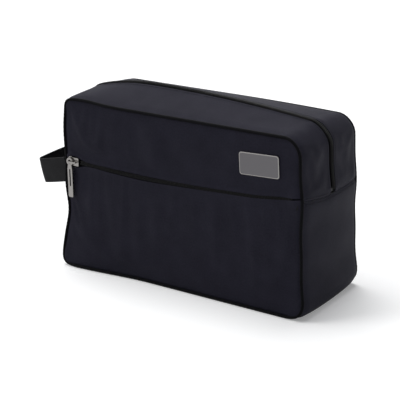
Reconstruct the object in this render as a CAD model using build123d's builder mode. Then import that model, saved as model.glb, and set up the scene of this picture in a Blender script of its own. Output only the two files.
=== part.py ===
from build123d import *
import math
import os

os.makedirs("parts", exist_ok=True)

# A zipped toiletry bag. Origin at the middle of its base, X along its length, Y to the back, Z up.
# All sizes are in millimetres.

# Bag body
bag_length = 260.0
bag_depth = 100.0
bag_height = 165.0
top_crown = 12.0
top_corner_radius = 18.0
bottom_corner_radius = 22.0
seam_height = 105.0
flap_end_room = 7.0
piping_radius = 1.8
piping_sides = 8

# Cloth layers and the gaps between them
shell = 1.2
panel = 1.0
panel_depth = 1.0
foam = 1.6
panel_foam = 2.0
lining = 0.6
pocket_cloth = 0.8
sewing_gap = 0.1
hinge_gap = 0.3
binding_width = 2.5
binding = 1.0

# Zip tape and coil
tape = 0.5
tape_width = 13.5
tape_edge = 1.5
lining_gap = 0.2
slot_half = 5.0
lining_slot_half = 6.5
chain_thickness = 2.0
core_edge = 1.8
core_width = 1.2
tooth_reach = 1.6
tooth_width = 1.6
tooth_height = 1.8
tooth_pitch = 4.0
stop_length = 2.0
end_stop_length = 3.5
stop_room = 0.8

# Sliders
running_gap = 0.3
plate = 1.1
slider_length = 12.0
slider_tail_half = 4.0
slider_nose_half = 4.7
flange_inner_half = 3.4
flange_lift = 0.25
post_half = 1.2
crown_half_length = 4.1
crown_leg = 1.6
crown_bar = 1.2
tunnel = 2.4
main_slider_travel = 26.0

# Pullers
wire_radius = 0.9
eye_radius = 1.9
eye_thickness = 1.2
puller_length = 39.0
puller_width = 5.5
puller_thickness = 1.6
puller_slot_length = 17.0
puller_slot_width = 1.5

# Badge
badge_width = 40.5
badge_height = 21.0
badge_thickness = 0.8
badge_corner = 2.5
badge_from_end = 42.0
badge_below_top = 29.0
prong_width = 1.6
prong_thickness = 0.5
prong_spread = 26.0
backing = 0.5

# Side handle
strap_width = 25.0
strap_thickness = 2.0
strap_reach = 32.0
strap_back_reach = 25.0
strap_back_turn = 11.0
strap_front_fold = 4.0
strap_back_fold = 14.0
strap_below_seam = 11.5
strap_droop = 12.0
strap_root_taper = 0.8
anchor_stub = 0.9

# Places that follow from the sizes above
half_length = bag_length / 2
half_depth = bag_depth / 2
seam_y = half_depth - 2 * piping_radius
hinge_y = seam_y - hinge_gap
panel_inset = 2 * piping_radius + sewing_gap
flap_half = half_length - top_corner_radius - flap_end_room
tape_far = tape_edge + tape_width
lining_depth = shell + tape + lining_gap
chain_rise = chain_thickness - shell
over = 2 * chain_thickness
pocket_line = seam_height
badge_x = half_length - badge_from_end
badge_z = bag_height - badge_below_top
strap_centre_z = seam_height - strap_below_seam


def wall_plane(y):
    """Upright plane across the bag at a given y, with X to the right and Z up."""
    return Plane.XZ.offset(-y)


def outline_face(inset):
    """The bag's rounded front outline, drawn in all round by an inset."""
    with BuildSketch() as shape:
        with Locations((0, bag_height / 2)):
            Rectangle(bag_length - 2 * inset, bag_height - 2 * inset)
        fillet(shape.vertices().group_by(Axis.Y)[-1], top_corner_radius - inset)
        fillet(shape.vertices().group_by(Axis.Y)[0], bottom_corner_radius - inset)
    return shape.sketch


def window(x_min, x_max, z_min, z_max):
    """A rectangle that keeps only part of an outline."""
    with BuildSketch() as area:
        with Locations(((x_min + x_max) / 2, (z_min + z_max) / 2)):
            Rectangle(x_max - x_min, z_max - z_min)
    return area.sketch


# Windows for the U of the lower gusset, the two upper ends and the whole outline
far = half_length + over
top = bag_height + over
whole = [window(-far, far, -over, top)]
below_seam = [window(-far, far, -over, seam_height - hinge_gap / 2)]
left_end = window(-far, -flap_half - hinge_gap / 2, seam_height + hinge_gap / 2, top)
right_end = window(flap_half + hinge_gap / 2, far, seam_height + hinge_gap / 2, top)
upper_ends = [left_end, right_end]


def band(label, outer_inset, inner_inset, y_low, y_high, windows):
    """A strip of cloth that follows the outline between two insets, from y_low to y_high."""
    outer = outline_face(outer_inset)
    inner = outline_face(inner_inset)
    with BuildPart() as strip:
        for area in windows:
            with BuildSketch(wall_plane(y_low)):
                add(outer)
                add(inner, mode=Mode.SUBTRACT)
                add(area, mode=Mode.INTERSECT)
            extrude(amount=y_low - y_high)
    strip.part.label = label
    export_step(strip.part, "parts/" + label + ".step")


def flat_panel(label, inset, y_low, y_high, area=whole[0]):
    """A flat layer with the bag's outline."""
    face = outline_face(inset)
    with BuildPart() as layer:
        with BuildSketch(wall_plane(y_low)):
            add(face)
            add(area, mode=Mode.INTERSECT)
        extrude(amount=y_low - y_high)
    layer.part.label = label
    export_step(layer.part, "parts/" + label + ".step")


# Front wall: two outer panels with the pocket zip between them
front_face = -half_depth + panel_depth
front_panel_back = front_face + panel
above_pocket = window(-far, far, pocket_line + slot_half, top)
below_pocket = window(-far, far, -over, pocket_line - slot_half)
flat_panel("front_pocket_panel", panel_inset, front_face, front_panel_back, below_pocket)

upper_face = outline_face(panel_inset)
with BuildPart() as front_upper_panel:
    with BuildSketch(wall_plane(front_face)):
        add(upper_face)
        add(above_pocket, mode=Mode.INTERSECT)
        with Locations((badge_x, badge_z)):
            with GridLocations(prong_spread, 1, 2, 1):
                Rectangle(prong_thickness + 2 * sewing_gap, prong_width + 2 * sewing_gap, mode=Mode.SUBTRACT)
    extrude(amount=-panel)
front_upper_panel.part.label = "front_upper_panel"
export_step(front_upper_panel.part, "parts/front_upper_panel.step")

# Pocket back, foam and lining, set behind the pocket slider's lower plate
pocket_back = front_panel_back + tape + 2 * running_gap + plate + sewing_gap
front_foam = pocket_back + pocket_cloth
front_lining = front_foam + panel_foam
front_inside = front_lining + lining
flat_panel("pocket_back_panel", panel_inset, pocket_back, front_foam)
flat_panel("front_padding", panel_inset, front_foam, front_lining)
flat_panel("front_lining", panel_inset, front_lining, front_inside)

# Back wall
back_panel = half_depth - panel_depth - panel
back_foam = back_panel - sewing_gap - panel_foam
back_inside = back_foam - sewing_gap - lining
flat_panel("back_panel", panel_inset, back_panel, back_panel + panel)
flat_panel("back_padding", panel_inset, back_foam, back_foam + panel_foam)
flat_panel("back_lining", panel_inset, back_inside, back_inside + lining)

# Lower gusset: base and lower sides in one strip, with foam and lining inside
band("lower_gusset", 0, shell, -seam_y, seam_y, below_seam)
band("lower_gusset_padding", shell, shell + foam, -seam_y, seam_y, below_seam)
band("lower_gusset_lining", shell + foam, shell + foam + lining, -seam_y, seam_y, below_seam)

# Upper gusset ends: from the cross seams over the top corners, split by the main zip
for side, name in ((-1, "front"), (1, "back")):
    near = sorted((side * seam_y, side * slot_half))
    under = sorted((side * seam_y, side * lining_slot_half))
    band("gusset_end_" + name, 0, shell, near[0], near[1], upper_ends)
    band("gusset_end_lining_" + name, lining_depth, lining_depth + lining, under[0], under[1], upper_ends)

# Seam bindings inside, round the front and back walls
binding_inset = panel_inset
binding_inner = binding_inset + binding_width
band("front_seam_binding", binding_inset, binding_inner, front_inside, front_inside + binding, whole)
band("back_seam_binding", binding_inset, binding_inner, back_inside - binding, back_inside, whole)

# Piping: a cord in a cloth sleeve, swept round the front and back outlines
for side, name in ((-1, "front_piping"), (1, "back_piping")):
    middle = side * (half_depth - piping_radius)
    route = wall_plane(middle).from_local_coords(outline_face(piping_radius).face()).outer_wire()
    with BuildPart() as piping:
        with BuildSketch(Plane(route @ 0, z_dir=route % 0)):
            RegularPolygon(piping_radius, piping_sides)
        sweep(path=route)
    piping.part.label = name
    export_step(piping.part, "parts/" + name + ".step")


# Top flaps: the crowned top, from each side seam to the main zip
def crown_at(y):
    """Rise of the top above its straight edges, at the middle of the bag's length."""
    return top_crown * (1 - abs(y) / seam_y)


def crowned_strip(label, y_edge, y_zip, depth, thickness):
    """A layer of the top, lofted from its straight outer edge to its arched zip edge."""
    end = flap_half - hinge_gap / 2
    with BuildPart() as strip:
        for y in (y_edge, y_zip):
            high = bag_height - depth
            low = high - thickness
            rise = crown_at(y)
            with BuildSketch(wall_plane(y)):
                with BuildLine():
                    ThreePointArc((-end, high), (0, high + rise), (end, high))
                    Line((end, high), (end, low))
                    ThreePointArc((end, low), (0, low + rise), (-end, low))
                    Line((-end, low), (-end, high))
                make_face()
        loft(ruled=True)
    strip.part.label = label
    export_step(strip.part, "parts/" + label + ".step")


for side, name in ((-1, "front"), (1, "back")):
    crowned_strip("top_flap_" + name, side * hinge_y, side * slot_half, 0, shell)
    crowned_strip("top_lining_" + name, side * hinge_y, side * lining_slot_half, lining_depth, lining)
    crowned_strip("main_zip_tape_" + name, side * tape_far, side * tape_edge, shell + sewing_gap, tape)
    ends = sorted((side * tape_far, side * tape_edge))
    band("main_zip_tape_ends_" + name, shell, shell + tape, ends[0], ends[1], upper_ends)

# Main zip coil over the crowned top: a core strip with teeth that mesh with the other half's
zip_rise = crown_at(tape_edge)
chain_high = bag_height + chain_rise
chain_low = bag_height - shell
arc_radius = (flap_half ** 2 + zip_rise ** 2) / (2 * zip_rise)
arc_centre = bag_height + zip_rise - arc_radius
tooth_radius = arc_radius + (chain_rise - shell) / 2
tooth_half_turn = math.asin((flap_half - tooth_pitch) / arc_radius)
tooth_step = tooth_pitch / arc_radius
teeth_each_side = int(tooth_half_turn / tooth_step)


def tooth_depths(side):
    """Start and end of a tooth across the zip, from inside its core to past the middle."""
    return sorted((side * (core_edge + core_width / 2), -side * tooth_reach))


for side, name, lag in ((-1, "front", 0.0), (1, "back", 0.5)):
    core = sorted((side * core_edge, side * (core_edge + core_width)))
    reach = tooth_depths(side)
    end = flap_half - hinge_gap / 2
    with BuildPart() as comb:
        with BuildSketch(wall_plane(core[0])):
            with BuildLine():
                ThreePointArc((-end, chain_high), (0, chain_high + zip_rise), (end, chain_high))
                Line((end, chain_high), (end, chain_low))
                ThreePointArc((end, chain_low), (0, chain_low + zip_rise), (-end, chain_low))
                Line((-end, chain_low), (-end, chain_high))
            make_face()
        extrude(amount=core[0] - core[1])
        with BuildSketch(wall_plane(reach[0])):
            for number in range(-teeth_each_side, teeth_each_side):
                turn = (number + lag) * tooth_step
                place = (tooth_radius * math.sin(turn), arc_centre + tooth_radius * math.cos(turn))
                with Locations(Location(place + (0,), (0, 0, -math.degrees(turn)))):
                    Rectangle(tooth_width, tooth_height)
        extrude(amount=reach[0] - reach[1])
    comb.part.label = "main_zip_teeth_" + name
    export_step(comb.part, "parts/main_zip_teeth_" + name + ".step")

# Main zip coil at the two ends: down the sides and over the corners
main_slider_z = seam_height + stop_room + stop_length + stop_room + slider_length / 2
left_coil_start = main_slider_z + slider_length / 2 + running_gap - seam_height
right_coil_start = stop_room + end_stop_length + running_gap
side_run = bag_height - top_corner_radius - seam_height
chain_middle_inset = (shell - chain_rise) / 2
corner_run = (top_corner_radius - chain_middle_inset) * math.pi / 2
coil_run = side_run + corner_run + flap_end_room


def coil_place(distance, hand):
    """A place on the coil's line and its turn, measured up from the cross seam."""
    radius = top_corner_radius - chain_middle_inset
    if distance < side_run:
        x = half_length - chain_middle_inset
        z = seam_height + distance
        turn = 90
    elif distance < side_run + corner_run:
        angle = (distance - side_run) / radius
        x = half_length - top_corner_radius + radius * math.cos(angle)
        z = bag_height - top_corner_radius + radius * math.sin(angle)
        turn = 90 + math.degrees(angle)
    else:
        x = half_length - top_corner_radius - (distance - side_run - corner_run)
        z = bag_height - chain_middle_inset
        turn = 180
    return Location((hand * x, z, 0), (0, 0, hand * turn))


coil_outer = outline_face(-chain_rise)
coil_inner = outline_face(shell)
for side, name, lag in ((-1, "front", 0.0), (1, "back", 0.5)):
    core = sorted((side * core_edge, side * (core_edge + core_width)))
    reach = tooth_depths(side)
    with BuildPart() as comb:
        for hand, start in ((-1, left_coil_start), (1, right_coil_start)):
            low_x, high_x = sorted((hand * far, hand * (flap_half + hinge_gap / 2)))
            coil_window = window(low_x, high_x, seam_height + start, top)
            with BuildSketch(wall_plane(core[0])):
                add(coil_outer)
                add(coil_inner, mode=Mode.SUBTRACT)
                add(coil_window, mode=Mode.INTERSECT)
            extrude(amount=core[0] - core[1])
            count = int((coil_run - start - tooth_pitch) / tooth_pitch)
            with BuildSketch(wall_plane(reach[0])):
                for number in range(count):
                    with Locations(coil_place(start + tooth_width + (number + lag) * tooth_pitch, hand)):
                        Rectangle(tooth_width, tooth_height)
            extrude(amount=reach[0] - reach[1])
    comb.part.label = "main_zip_teeth_ends_" + name
    export_step(comb.part, "parts/main_zip_teeth_ends_" + name + ".step")

# Pocket zip: tape sewn behind the two front panels, coil in the slot between them
tape_end = half_length - panel_inset
pocket_slider_x = -tape_end + stop_room + stop_length + stop_room + slider_length / 2
pocket_coil_left = pocket_slider_x + slider_length / 2 + running_gap
pocket_stop_x = tape_end - stop_room - end_stop_length
pocket_coil_right = pocket_stop_x - running_gap
pocket_travel = pocket_stop_x - running_gap - slider_length / 2 - pocket_slider_x
pocket_coil_length = pocket_coil_right - pocket_coil_left
pocket_teeth = int((pocket_coil_length - tooth_pitch) / tooth_pitch)
for hand, name, lag in ((1, "upper", 0.0), (-1, "lower", 0.5)):
    tape_low, tape_high = sorted((pocket_line + hand * tape_edge, pocket_line + hand * tape_far))
    tape_face = window(-tape_end, tape_end, tape_low, tape_high)
    core_place = ((pocket_coil_left + pocket_coil_right) / 2, pocket_line + hand * (core_edge + core_width / 2))
    with BuildPart() as pocket_tape:
        with BuildSketch(wall_plane(front_panel_back)):
            add(tape_face)
        extrude(amount=-tape)
    pocket_tape.part.label = "pocket_zip_tape_" + name
    export_step(pocket_tape.part, "parts/pocket_zip_tape_" + name + ".step")
    with BuildPart() as pocket_coil:
        with BuildSketch(wall_plane(front_panel_back)):
            with Locations(core_place):
                Rectangle(pocket_coil_length, core_width)
        extrude(amount=chain_thickness)
        with BuildSketch(wall_plane(front_panel_back - (chain_thickness - tooth_height) / 2)):
            for number in range(pocket_teeth):
                tooth_x = pocket_coil_left + tooth_width + (number + lag) * tooth_pitch
                tooth_middle = (core_edge + core_width / 2 - tooth_reach) / 2
                with Locations((tooth_x, pocket_line + hand * tooth_middle)):
                    Rectangle(tooth_width, core_edge + core_width / 2 + tooth_reach)
        extrude(amount=tooth_height)
    pocket_coil.part.label = "pocket_zip_teeth_" + name
    export_step(pocket_coil.part, "parts/pocket_zip_teeth_" + name + ".step")

# Zip stops: a clamped pair where the slider closes, one wide stop at the other end
stop_middle = core_edge + core_width / 2
with BuildPart() as pocket_zip_stops:
    with BuildSketch(wall_plane(front_panel_back)):
        with Locations((-tape_end + stop_room + stop_length / 2, pocket_line)):
            with GridLocations(1, 2 * stop_middle, 1, 2):
                Rectangle(stop_length, core_width)
        with Locations((pocket_stop_x + end_stop_length / 2, pocket_line)):
            Rectangle(end_stop_length, 2 * (core_edge + core_width))
    extrude(amount=chain_thickness)
pocket_zip_stops.part.label = "pocket_zip_stops"
export_step(pocket_zip_stops.part, "parts/pocket_zip_stops.step")

with BuildPart() as main_zip_stops:
    with BuildSketch(Plane.YZ.offset(-half_length + shell)):
        with Locations((0, seam_height + stop_room + stop_length / 2)):
            with GridLocations(2 * stop_middle, 1, 2, 1):
                Rectangle(core_width, stop_length)
    extrude(amount=-chain_thickness)
    with BuildSketch(Plane.YZ.offset(half_length - shell)):
        with Locations((0, seam_height + stop_room + end_stop_length / 2)):
            Rectangle(2 * (core_edge + core_width), end_stop_length)
    extrude(amount=chain_thickness)
main_zip_stops.part.label = "main_zip_stops"
export_step(main_zip_stops.part, "parts/main_zip_stops.step")

# Zip slider: two plates joined by a post at the nose, side flanges, and a crown over the top
with BuildSketch() as plate_sketch:
    with BuildLine():
        Polyline(
            (-slider_length / 2, -slider_tail_half),
            (0, -slider_tail_half),
            (slider_length / 4, -slider_nose_half),
            (slider_length / 2, -slider_nose_half),
            (slider_length / 2, slider_nose_half),
            (slider_length / 4, slider_nose_half),
            (0, slider_tail_half),
            (-slider_length / 2, slider_tail_half),
            close=True,
        )
    make_face()
    fillet(plate_sketch.vertices().group_by(Axis.X)[-1], slider_nose_half / 2)
    fillet(plate_sketch.vertices().group_by(Axis.X)[0], slider_tail_half / 4)
plate_face = plate_sketch.sketch

lower_plate = -tape - running_gap - plate
upper_plate = chain_thickness + running_gap
slider_top = upper_plate + plate
post_start = slider_length / 8
post_end = slider_length / 2 - plate / 2


def slider(label, seat):
    """A slider on a seat plane: origin on the tape's outer face, X towards the nose, Z outwards."""
    crown_plane = Plane(seat.origin, x_dir=seat.x_dir, z_dir=-seat.y_dir)
    with BuildPart() as body:
        for height in (lower_plate, upper_plate):
            with BuildSketch(seat.offset(height)):
                add(plate_face)
            extrude(amount=plate)
        with BuildSketch(seat.offset(flange_lift)):
            add(plate_face)
            Rectangle(2 * slider_length, 2 * flange_inner_half, mode=Mode.SUBTRACT)
        extrude(amount=upper_plate - flange_lift)
        with BuildSketch(seat.offset(lower_plate + plate)):
            with BuildLine():
                Polyline(
                    (post_start, 0),
                    ((post_start + post_end) / 2, post_half),
                    (post_end, 0),
                    ((post_start + post_end) / 2, -post_half),
                    close=True,
                )
            make_face()
        extrude(amount=upper_plate - lower_plate - plate)
        with BuildSketch(crown_plane) as crown:
            with Locations((0, slider_top + (tunnel + crown_bar) / 2)):
                Rectangle(2 * crown_half_length, tunnel + crown_bar)
            fillet(crown.vertices().group_by(Axis.Y)[-1], crown_leg)
            with Locations((0, slider_top + tunnel / 2)):
                Rectangle(2 * (crown_half_length - crown_leg), tunnel, mode=Mode.SUBTRACT)
        extrude(amount=crown_leg / 2, both=True)
    body.part.label = label
    export_step(body.part, "parts/" + label + ".step")


pocket_seat = Plane((pocket_slider_x, front_panel_back, pocket_line), x_dir=(-1, 0, 0), z_dir=(0, -1, 0))
main_seat = Plane((-half_length + shell, 0, main_slider_z), x_dir=(0, 0, -1), z_dir=(-1, 0, 0))
slider("pocket_slider", pocket_seat)
slider("main_slider", main_seat)

# Zip puller: a slotted flat bar with a thinner round eye
eye_centre_radius = eye_radius + wire_radius
puller_tip = puller_length - eye_centre_radius - wire_radius
neck_half = eye_radius
puller_shoulder = 2 * (eye_centre_radius + wire_radius)
slot_start = puller_shoulder
puller_height = slider_top + tunnel / 2
crown_leg_middle = crown_half_length - crown_leg / 2


def puller(label, hang):
    """A puller on a plane: origin at the eye's centre, X down the bar, Z outwards."""
    with BuildPart() as tag:
        with BuildSketch(hang.offset(-puller_thickness / 2)) as bar:
            with BuildLine():
                Polyline(
                    (eye_centre_radius, -neck_half),
                    (puller_shoulder, -puller_width / 2),
                    (puller_tip, -puller_width / 2),
                    (puller_tip, puller_width / 2),
                    (puller_shoulder, puller_width / 2),
                    (eye_centre_radius, neck_half),
                    close=True,
                )
            make_face()
            fillet(bar.vertices().group_by(Axis.X)[-1], puller_width / 4)
            with Locations((slot_start + puller_slot_length / 2, 0)):
                SlotOverall(puller_slot_length, puller_slot_width, mode=Mode.SUBTRACT)
        extrude(amount=puller_thickness)
        with BuildSketch(hang.offset(-eye_thickness / 2)):
            Circle(eye_centre_radius + wire_radius)
        extrude(amount=eye_thickness)
        with BuildSketch(hang.offset(-puller_thickness)):
            Circle(eye_radius)
        extrude(amount=2 * puller_thickness, mode=Mode.SUBTRACT)
    tag.part.label = label
    export_step(tag.part, "parts/" + label + ".step")


pocket_eye = pocket_seat.from_local_coords((crown_leg_middle, 0, puller_height))
main_eye = main_seat.from_local_coords((crown_leg_middle, 0, puller_height))
puller("pocket_puller", Plane(pocket_eye, x_dir=(0, 0, -1), z_dir=(0, -1, 0)))
puller("main_puller", Plane(main_eye, x_dir=(0, 0, -1), z_dir=(-1, 0, 0)))

# Badge: a bare metal plate with two prongs, held by a backing plate behind the panel
badge_place = (badge_x, badge_z)
prong_length = panel + sewing_gap + backing + prong_thickness
with BuildPart() as badge:
    with BuildSketch(wall_plane(front_face)):
        with Locations(badge_place):
            RectangleRounded(badge_width, badge_height, badge_corner)
    extrude(amount=badge_thickness)
    chamfer(badge.faces().sort_by(Axis.Y)[0].edges(), badge_thickness / 4)
    with BuildSketch(wall_plane(front_face)):
        with Locations(badge_place):
            with GridLocations(prong_spread, 1, 2, 1):
                Rectangle(prong_thickness, prong_width)
    extrude(amount=-prong_length)
badge.part.label = "badge"
export_step(badge.part, "parts/badge.step")

with BuildPart() as badge_backing:
    with BuildSketch(wall_plane(front_panel_back + sewing_gap)):
        with Locations(badge_place):
            Rectangle(prong_spread + 4 * prong_width, 4 * prong_width)
            with GridLocations(prong_spread, 1, 2, 1):
                Rectangle(prong_thickness + 2 * sewing_gap, prong_width + 2 * sewing_gap, mode=Mode.SUBTRACT)
    extrude(amount=-backing)
badge_backing.part.label = "badge_backing"
export_step(badge_backing.part, "parts/badge_backing.step")

# Side handle: webbing sewn into the front and back seams, standing out as a loop
strap_root_y = seam_y - sewing_gap - strap_thickness / 2
handle_axis_x = -half_length - anchor_stub - hinge_gap
strap_start = strap_thickness * 0.8
droop = math.radians(strap_droop)
out = Vector(-math.cos(droop), 0, -math.sin(droop))
up = Vector(-math.sin(droop), 0, math.cos(droop))
loop_plane = Plane((handle_axis_x, 0, strap_centre_z), x_dir=out, z_dir=-up)
taper_plane = Plane((handle_axis_x, 0, strap_centre_z), x_dir=out, z_dir=(0, -1, 0))
with BuildPart() as handle_strap:
    with BuildLine(loop_plane) as loop:
        FilletPolyline(
            (strap_thickness / 4, -strap_root_y),
            (strap_reach, -strap_root_y + strap_thickness / 2),
            (strap_back_reach, strap_root_y - strap_back_turn),
            (strap_start, strap_root_y - strap_thickness / 2),
            radius=[strap_front_fold, strap_back_fold],
        )
    with BuildSketch(Plane(loop.line @ 0, x_dir=up, z_dir=loop.line % 0)):
        Rectangle(strap_width, strap_thickness)
    sweep(path=loop.line)
    with BuildSketch(taper_plane):
        with BuildLine():
            Polyline(
                (0, 0),
                (strap_width, strap_root_taper * strap_width),
                (2 * strap_reach, strap_root_taper * strap_width),
                (2 * strap_reach, -strap_root_taper * strap_width),
                (strap_width, -strap_root_taper * strap_width),
                close=True,
            )
        make_face()
    extrude(amount=bag_depth, both=True, mode=Mode.INTERSECT)
handle_strap.part.label = "handle_strap"
export_step(handle_strap.part, "parts/handle_strap.step")

for side, name in ((-1, "handle_anchor_front"), (1, "handle_anchor_back")):
    with BuildPart() as anchor:
        with BuildSketch(Plane.YZ.offset(-half_length)):
            with Locations((side * strap_root_y, strap_centre_z)):
                Rectangle(strap_thickness, strap_width)
        extrude(amount=-anchor_stub)
    anchor.part.label = name
    export_step(anchor.part, "parts/" + name + ".step")

# Places that the record states
print("main slider rest z", main_slider_z, "travel", main_slider_travel)
print("pocket slider rest x", pocket_slider_x, "travel", pocket_travel)
print("pocket eye", pocket_eye)
print("main eye", main_eye, "puller hinge z", main_eye.Z + eye_centre_radius)
print("flap hinge y", hinge_y, "z", bag_height)
print("handle axis x", handle_axis_x, "z", strap_centre_z)
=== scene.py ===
import math

import bmesh
import bpy
import numpy as np
from mathutils import Matrix, Vector


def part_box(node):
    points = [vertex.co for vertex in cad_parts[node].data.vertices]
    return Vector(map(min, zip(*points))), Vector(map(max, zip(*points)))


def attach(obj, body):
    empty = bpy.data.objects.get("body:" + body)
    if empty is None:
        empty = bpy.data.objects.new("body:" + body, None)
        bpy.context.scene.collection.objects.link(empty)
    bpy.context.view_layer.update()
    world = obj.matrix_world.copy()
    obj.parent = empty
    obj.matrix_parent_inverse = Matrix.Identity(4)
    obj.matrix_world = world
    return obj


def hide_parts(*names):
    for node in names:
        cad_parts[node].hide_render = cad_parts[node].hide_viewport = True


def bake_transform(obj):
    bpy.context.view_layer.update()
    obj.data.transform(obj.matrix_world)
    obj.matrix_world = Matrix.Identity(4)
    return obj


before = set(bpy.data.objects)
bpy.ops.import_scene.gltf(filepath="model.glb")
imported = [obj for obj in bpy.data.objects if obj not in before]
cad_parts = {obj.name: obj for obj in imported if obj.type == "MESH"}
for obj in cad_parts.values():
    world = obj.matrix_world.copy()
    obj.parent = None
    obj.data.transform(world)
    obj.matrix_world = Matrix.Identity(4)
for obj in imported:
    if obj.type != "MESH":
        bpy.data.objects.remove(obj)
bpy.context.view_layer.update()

# The camera stands right of the bag's front, a little above it, at the photograph's angle.
# Its lens and distance come from the bag's corners in the photograph.
view_azimuth = math.radians(34.3)
view_elevation = math.radians(19.3)
view_roll = math.radians(-0.72)
view_distance = 1.181
lens_pixels = 1261
frame_pixels = 400
film_width = 36
aim_point = Vector((-0.008, 0, 0.0717))

camera_back = Vector((
    math.sin(view_azimuth) * math.cos(view_elevation),
    -math.cos(view_azimuth) * math.cos(view_elevation),
    math.sin(view_elevation),
))
level_right = Vector((math.cos(view_azimuth), math.sin(view_azimuth), 0))
level_up = camera_back.cross(level_right)
camera_right = math.cos(view_roll) * level_right + math.sin(view_roll) * level_up
camera_up = -math.sin(view_roll) * level_right + math.cos(view_roll) * level_up
camera_data = bpy.data.cameras.new("camera")
camera_data.sensor_width = film_width
camera_data.lens = film_width * lens_pixels / frame_pixels
camera = bpy.data.objects.new("camera", camera_data)
camera_turn = Matrix((camera_right, camera_up, camera_back)).transposed().to_4x4()
camera.matrix_world = Matrix.Translation(aim_point + camera_back * view_distance) @ camera_turn
bpy.context.scene.collection.objects.link(camera)
bpy.context.scene.camera = camera

# A white studio: one broad soft light from above, a weak one from the left front, and a pale floor.
# The floor and world show white to the camera and to shiny metal, and the floor keeps its shadow.
bpy.context.scene.view_settings.view_transform = "Standard"


def studio_light(name, direction, strength, spread):
    """A soft even light that shines from a direction."""
    light = bpy.data.lights.new(name, "SUN")
    light.energy = strength
    light.angle = math.radians(spread)
    holder = bpy.data.objects.new(name, light)
    holder.rotation_euler = Vector(direction).to_track_quat("Z", "Y").to_euler()
    bpy.context.scene.collection.objects.link(holder)


studio_light("light_overhead", (-0.30, 0.16, 1.0), 2.55, 46)
studio_light("light_front", (-1.0, -0.75, 0.9), 1.0, 24)


def math_step(tree, operation, first, second=0):
    """One math step in a node tree, of two values that are numbers or other nodes' outputs."""
    step = tree.nodes.new("ShaderNodeMath")
    step.operation = operation
    for number, value in enumerate((first, second)):
        if isinstance(value, (int, float)):
            step.inputs[number].default_value = value
        else:
            tree.links.new(value, step.inputs[number])
    return step.outputs[0]


def seen_directly(tree):
    """1 for camera, glossy and transmission rays, 0 for the rest."""
    rays = tree.nodes.new("ShaderNodeLightPath").outputs
    either = math_step(tree, "MAXIMUM", rays["Is Camera Ray"], rays["Is Glossy Ray"])
    return math_step(tree, "MAXIMUM", either, rays["Is Transmission Ray"])


world_fill_strength = 0.16
world = bpy.data.worlds.new("studio")
bpy.context.scene.world = world
world.use_nodes = True
world_nodes = world.node_tree.nodes
world_links = world.node_tree.links
world_nodes.clear()
world_out = world_nodes.new("ShaderNodeOutputWorld")
world_mix = world_nodes.new("ShaderNodeMixShader")
world_fill = world_nodes.new("ShaderNodeBackground")
world_fill.inputs["Color"].default_value = (0.9, 0.93, 1.0, 1)
world_fill.inputs["Strength"].default_value = world_fill_strength
world_white = world_nodes.new("ShaderNodeBackground")
world_white.inputs["Color"].default_value = (1, 1, 1, 1)
world_white.inputs["Strength"].default_value = 1.0
world_links.new(seen_directly(world.node_tree), world_mix.inputs[0])
world_links.new(world_fill.outputs[0], world_mix.inputs[1])
world_links.new(world_white.outputs[0], world_mix.inputs[2])
world_links.new(world_mix.outputs[0], world_out.inputs["Surface"])

floor_half = 4.0
floor_shade = 0.88
floor_glow_strength = 0.24
floor_corners = [(x * floor_half, y * floor_half, 0) for x, y in ((-1, -1), (1, -1), (1, 1), (-1, 1))]
floor_mesh = bpy.data.meshes.new("floor")
floor_mesh.from_pydata(floor_corners, [], [(0, 1, 2, 3)])
floor = bpy.data.objects.new("floor", floor_mesh)
bpy.context.scene.collection.objects.link(floor)
floor_material = bpy.data.materials.new("pale_floor")
floor_material.use_nodes = True
floor_nodes = floor_material.node_tree.nodes
floor_links = floor_material.node_tree.links
floor_nodes.clear()
floor_out = floor_nodes.new("ShaderNodeOutputMaterial")
floor_sum = floor_nodes.new("ShaderNodeAddShader")
floor_paint = floor_nodes.new("ShaderNodeBsdfDiffuse")
floor_paint.inputs["Color"].default_value = (floor_shade, floor_shade, floor_shade, 1)
floor_glow = floor_nodes.new("ShaderNodeEmission")
floor_glow.inputs["Color"].default_value = (1, 1, 1, 1)
floor_seen = seen_directly(floor_material.node_tree)
floor_glow_level = math_step(floor_material.node_tree, "MULTIPLY", floor_seen, floor_glow_strength)
floor_links.new(floor_glow_level, floor_glow.inputs["Strength"])
floor_links.new(floor_paint.outputs[0], floor_sum.inputs[0])
floor_links.new(floor_glow.outputs[0], floor_sum.inputs[1])
floor_links.new(floor_sum.outputs[0], floor_out.inputs["Surface"])
floor_mesh.materials.append(floor_material)

# The bag's body is a rounded box of cloth: front and back outlines with piped edges, joined by a
# gusset. The sizes here are millimetres and come from the frame. The body is then eased by one
# field, which gives it the slump, the crown and the wandering seams of a filled cloth bag.
mm = 0.001
piping_low, piping_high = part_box("front_piping")
lower_low, lower_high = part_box("lower_gusset")
half_length = piping_high.x / mm
bag_height = piping_high.z / mm
half_depth = -piping_low.y / mm
piping_radius = (piping_high.y - piping_low.y) / mm / 2
seam_y = lower_high.y / mm
seam_height = lower_high.z / mm
crown_height = 12.8
crown_peak_x = -60.0
crown_left_run = 76
crown_right_run = 190
side_taper = 0.022
depth_taper = 0.008
foot_spread = 0.045
foot_spread_height = 45
left_foot_step = 7.5
left_foot_height = 60
left_edge_shifts = ((1.8, 54, 17), (-0.8, 16, 14), (-2.6, 143, 18))
front_left_lift = 2.2
back_right_drop = 2.6
seam_front_rise = 5.5
top_radius = 18.0
bottom_radius = 22.0
top_run = half_length - top_radius
top_bend = top_radius * math.pi / 2
side_run = bag_height - top_radius - bottom_radius
bottom_bend = bottom_radius * math.pi / 2
seam_run = top_run + top_bend + bag_height - top_radius - seam_height
bottom_run = top_run + top_bend + side_run + bottom_bend
half_round = bottom_run + half_length - bottom_radius


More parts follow.
